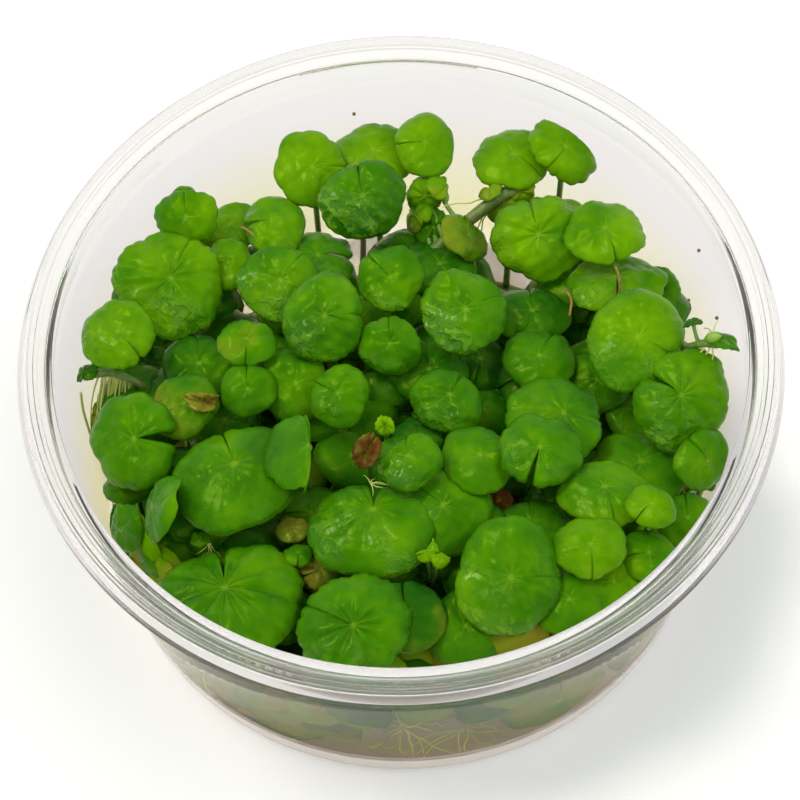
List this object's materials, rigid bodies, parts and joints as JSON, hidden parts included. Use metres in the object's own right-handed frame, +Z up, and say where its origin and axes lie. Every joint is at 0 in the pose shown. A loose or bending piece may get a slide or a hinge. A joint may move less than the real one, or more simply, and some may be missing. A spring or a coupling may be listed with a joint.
{
  "type": "brazilian pennywort",
  "caption": "Creeping aquarium plant with small round notched leaves on upright stalks, crowded in a clear round plastic tub with a rolled rim.",
  "frame": {"origin": "centre of the tub's underside, on the surface that the tub stands on", "axes": "+Z up through the tub's open mouth; -Y is the side that the picture is taken from"},
  "size_m": [0.117, 0.117, 0.0535],
  "materials": {
    "clear_plastic": "gloss",
    "stem": "satin",
    "leaf": "satin"
  },
  "bodies": {
    "root": {"tub": "clear_plastic", "stem_front": "stem", "stem_front_middle": "stem", "stem_middle": "stem", "stem_back_middle": "stem", "stem_back": "stem", "stem_far_back": "stem", "leaf_back_01": "leaf", "leaf_back_02": "leaf", "leaf_back_03": "leaf", "leaf_back_04": "leaf", "leaf_back_05": "leaf", "leaf_back_06": "leaf", "leaf_back_07": "leaf", "leaf_back_08": "leaf", "leaf_right_01": "leaf", "leaf_right_03": "leaf", "leaf_right_04": "leaf", "leaf_right_05": "leaf", "leaf_right_06": "leaf", "leaf_left_02": "leaf", "leaf_left_03": "leaf", "leaf_left_04": "leaf", "leaf_left_05": "leaf", "leaf_left_06": "leaf", "leaf_left_07": "leaf", "leaf_left_09": "leaf", "leaf_left_10": "leaf", "leaf_left_11": "leaf", "leaf_middle_01": "leaf", "leaf_middle_02": "leaf", "leaf_middle_03": "leaf", "leaf_middle_04": "leaf", "leaf_middle_06": "leaf", "leaf_middle_07": "leaf", "leaf_middle_09": "leaf", "leaf_middle_11": "leaf", "leaf_middle_12": "leaf", "leaf_middle_13": "leaf", "leaf_middle_14": "leaf", "leaf_middle_15": "leaf", "leaf_middle_16": "leaf", "leaf_front_01": "leaf", "leaf_front_02": "leaf", "leaf_front_03": "leaf", "leaf_front_04": "leaf", "leaf_front_05": "leaf", "leaf_front_06": "leaf", "leaf_front_07": "leaf", "leaf_front_08": "leaf", "leaf_front_09": "leaf", "leaf_front_10": "leaf", "leaf_front_11": "leaf", "leaf_front_13": "leaf", "leaf_front_14": "leaf", "leaf_front_17": "leaf", "leaf_front_20": "leaf", "leaf_front_21": "leaf"}
  },
  "joints": []
}
